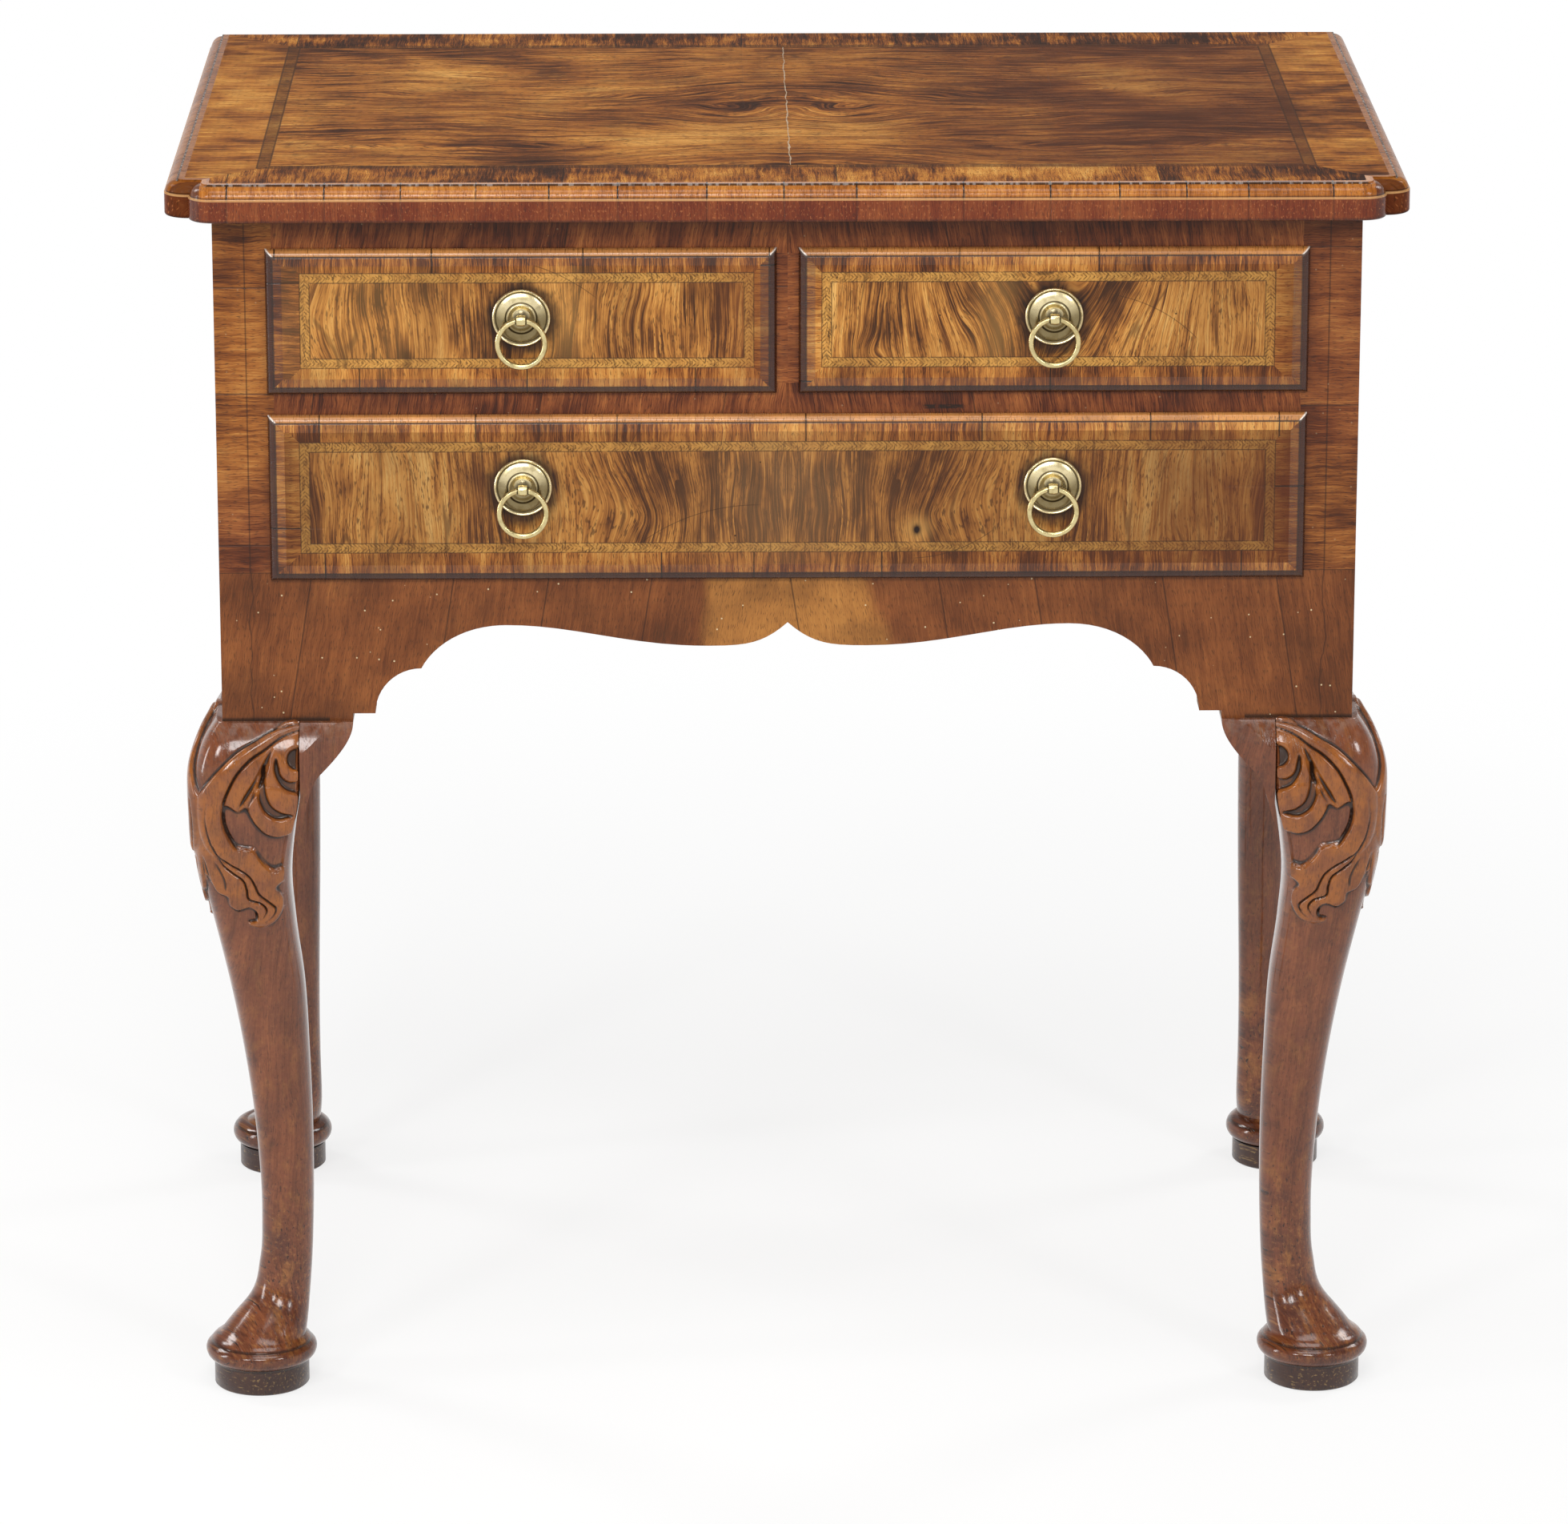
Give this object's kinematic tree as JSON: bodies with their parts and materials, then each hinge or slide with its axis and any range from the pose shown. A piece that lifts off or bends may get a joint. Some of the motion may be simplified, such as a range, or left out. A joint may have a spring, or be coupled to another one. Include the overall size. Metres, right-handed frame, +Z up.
{
  "type": "lowboy",
  "caption": "Small veneered walnut dressing table: moulded top, short drawers over a long one, shaped apron, cabriole front legs and ring handles.",
  "frame": {"origin": "on the floor, under the middle of the top's width and depth", "axes": "+X to the right when facing the front, +Y from the front to the back, +Z up"},
  "size_m": [0.711, 0.464, 0.735],
  "materials": {
    "walnut_veneer": "figured walnut veneer, waxed, with crossbanding and featherband inlay",
    "walnut_solid": "solid walnut, oiled and waxed to a warm gloss",
    "oak": "plain sawn and planed oak, dry and darkened",
    "pine": "unfinished pine, darkened with age",
    "brass": "lacquered old brass with tarnish in the hollows",
    "steel": "old iron screws, dull"
  },
  "bodies": {
    "carcase": {"apron": "walnut_veneer", "back_board_lower": "pine", "back_board_upper": "pine", "case_side_left": "walnut_veneer", "case_side_right": "walnut_veneer", "centre_runner": "oak", "drawer_divider": "walnut_veneer", "drawer_guides": "oak", "front_leg_left": "walnut_solid", "front_leg_right": "walnut_solid", "front_stile_left": "walnut_veneer", "front_stile_right": "walnut_veneer", "glue_blocks": "pine", "kickers": "pine", "knee_bracket_front_left": "walnut_solid", "knee_bracket_front_right": "walnut_solid", "knee_bracket_side_left": "walnut_solid", "knee_bracket_side_right": "walnut_solid", "lower_runners": "oak", "middle_rail": "walnut_veneer", "rear_leg_left": "walnut_solid", "rear_leg_right": "walnut_solid", "top_moulding_front": "walnut_solid", "top_moulding_left": "walnut_solid", "top_moulding_right": "walnut_solid", "top_panel": "walnut_veneer", "top_rail": "walnut_veneer", "top_screws": "steel", "upper_runners": "oak"},
    "left_drawer": {"left_drawer_front": "walnut_veneer", "left_drawer_lip": "walnut_solid", "left_drawer_side_left": "oak", "left_drawer_side_right": "oak", "left_drawer_back": "oak", "left_drawer_bottom": "oak", "left_drawer_backplate": "brass", "left_drawer_post": "brass"},
    "right_drawer": {"right_drawer_front": "walnut_veneer", "right_drawer_lip": "walnut_solid", "right_drawer_side_left": "oak", "right_drawer_side_right": "oak", "right_drawer_back": "oak", "right_drawer_bottom": "oak", "right_drawer_backplate": "brass", "right_drawer_post": "brass"},
    "long_drawer": {"long_drawer_front": "walnut_veneer", "long_drawer_lip": "walnut_solid", "long_drawer_side_left": "oak", "long_drawer_side_right": "oak", "long_drawer_back": "oak", "long_drawer_bottom": "oak", "long_drawer_left_backplate": "brass", "long_drawer_left_post": "brass", "long_drawer_right_backplate": "brass", "long_drawer_right_post": "brass"},
    "left_drawer_ring": {"left_drawer_ring": "brass"},
    "right_drawer_ring": {"right_drawer_ring": "brass"},
    "long_drawer_left_ring": {"long_drawer_left_ring": "brass"},
    "long_drawer_right_ring": {"long_drawer_right_ring": "brass"}
  },
  "joints": [
    {"name": "left_drawer_slide", "type": "slide", "parent": "carcase", "child": "left_drawer", "axis": [0, -1, 0], "range_m": [0, 0.28]},
    {"name": "right_drawer_slide", "type": "slide", "parent": "carcase", "child": "right_drawer", "axis": [0, -1, 0], "range_m": [0, 0.28]},
    {"name": "long_drawer_slide", "type": "slide", "parent": "carcase", "child": "long_drawer", "axis": [0, -1, 0], "range_m": [0, 0.28]},
    {"name": "left_drawer_ring_swing", "type": "hinge", "parent": "left_drawer", "child": "left_drawer_ring", "pos_m": [-0.15247, -0.2216, 0.6549], "axis": [-1, 0, 0], "range_deg": [0, 150]},
    {"name": "right_drawer_ring_swing", "type": "hinge", "parent": "right_drawer", "child": "right_drawer_ring", "pos_m": [0.15247, -0.2216, 0.6549], "axis": [-1, 0, 0], "range_deg": [0, 150]},
    {"name": "long_drawer_left_ring_swing", "type": "hinge", "parent": "long_drawer", "child": "long_drawer_left_ring", "pos_m": [-0.15247, -0.2216, 0.555], "axis": [-1, 0, 0], "range_deg": [0, 150]},
    {"name": "long_drawer_right_ring_swing", "type": "hinge", "parent": "long_drawer", "child": "long_drawer_right_ring", "pos_m": [0.15247, -0.2216, 0.555], "axis": [-1, 0, 0], "range_deg": [0, 150]}
  ]
}
